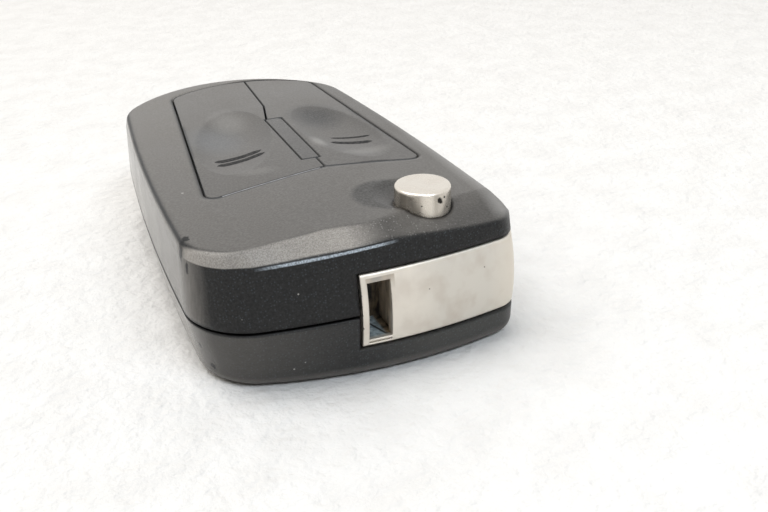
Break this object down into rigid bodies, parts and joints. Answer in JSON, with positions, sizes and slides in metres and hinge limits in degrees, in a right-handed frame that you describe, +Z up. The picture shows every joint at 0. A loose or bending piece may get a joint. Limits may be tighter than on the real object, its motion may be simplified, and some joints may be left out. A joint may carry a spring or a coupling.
{
  "type": "car remote key",
  "caption": "Folding car remote key with a black plastic housing, two finger keys, a light bar, a chrome release button and a nickel hub that carries a milled blade.",
  "frame": {"origin": "centre of the bounding box at the lower shell's bottom face", "axes": "+Z up out of the key side, +Y along the housing away from the metal hub, +X towards the side that holds the folded blade"},
  "size_m": [0.0388, 0.067, 0.0193],
  "materials": {
    "housing_black": "satin, fine grain",
    "key_black": "satin, fine grain",
    "bar_smoke": "smoked, satin",
    "hub_nickel": "satin nickel",
    "blade_steel": "satin, milled track",
    "pin_steel": "satin",
    "spring_steel": "drawn wire",
    "button_chrome": "polished, lightly pitted",
    "board_green": "solder mask",
    "switch_metal": "stamped sheet",
    "plunger_black": "moulded",
    "pad_rubber": "matt",
    "chip_black": "moulded",
    "resonator_metal": "sheet can",
    "lamp_white": "clear resin",
    "ceramic_tan": "fired ceramic",
    "coil_copper": "enamelled wire",
    "cell_steel": "nickel plated",
    "contact_steel": "sheet"
  },
  "bodies": {
    "housing": {"top_shell": "housing_black", "bottom_shell": "housing_black", "light_bar": "bar_smoke", "circuit_board": "board_green", "lock_switch": "switch_metal", "unlock_switch": "switch_metal", "transmitter_chip": "chip_black", "resonator": "resonator_metal", "indicator_lamp": "lamp_white", "small_components": "ceramic_tan", "transponder_coil": "coil_copper", "coin_cell": "cell_steel", "positive_contact": "contact_steel", "negative_contact": "contact_steel"},
    "flip_blade": {"blade_hub": "hub_nickel", "key_blade": "blade_steel", "blade_pin": "pin_steel", "flip_spring": "spring_steel"},
    "button": {"release_button": "button_chrome"},
    "left_key": {"lock_key": "key_black", "lock_key_pad": "pad_rubber", "lock_switch_plunger": "plunger_black"},
    "right_key": {"unlock_key": "key_black", "unlock_key_pad": "pad_rubber", "unlock_switch_plunger": "plunger_black"}
  },
  "joints": [
    {"name": "blade_flip", "type": "hinge", "parent": "housing", "child": "flip_blade", "pos_m": [0.0089, -0.0263, 0.0086], "axis": [0, 0, -1], "range_deg": [0, 180]},
    {"name": "release_press", "type": "slide", "parent": "housing", "child": "button", "axis": [0, 0, -1], "range_m": [0, 0.0019], "stiffness_N_per_m": 700, "springref_m": -0.001, "deforming": ["flip_spring"]},
    {"name": "lock_press", "type": "slide", "parent": "housing", "child": "left_key", "axis": [0, 0, -1], "range_m": [0, 0.0004], "stiffness_N_per_m": 2500, "springref_m": -0.0002},
    {"name": "unlock_press", "type": "slide", "parent": "housing", "child": "right_key", "axis": [0, 0, -1], "range_m": [0, 0.0004], "stiffness_N_per_m": 2500, "springref_m": -0.0002}
  ]
}
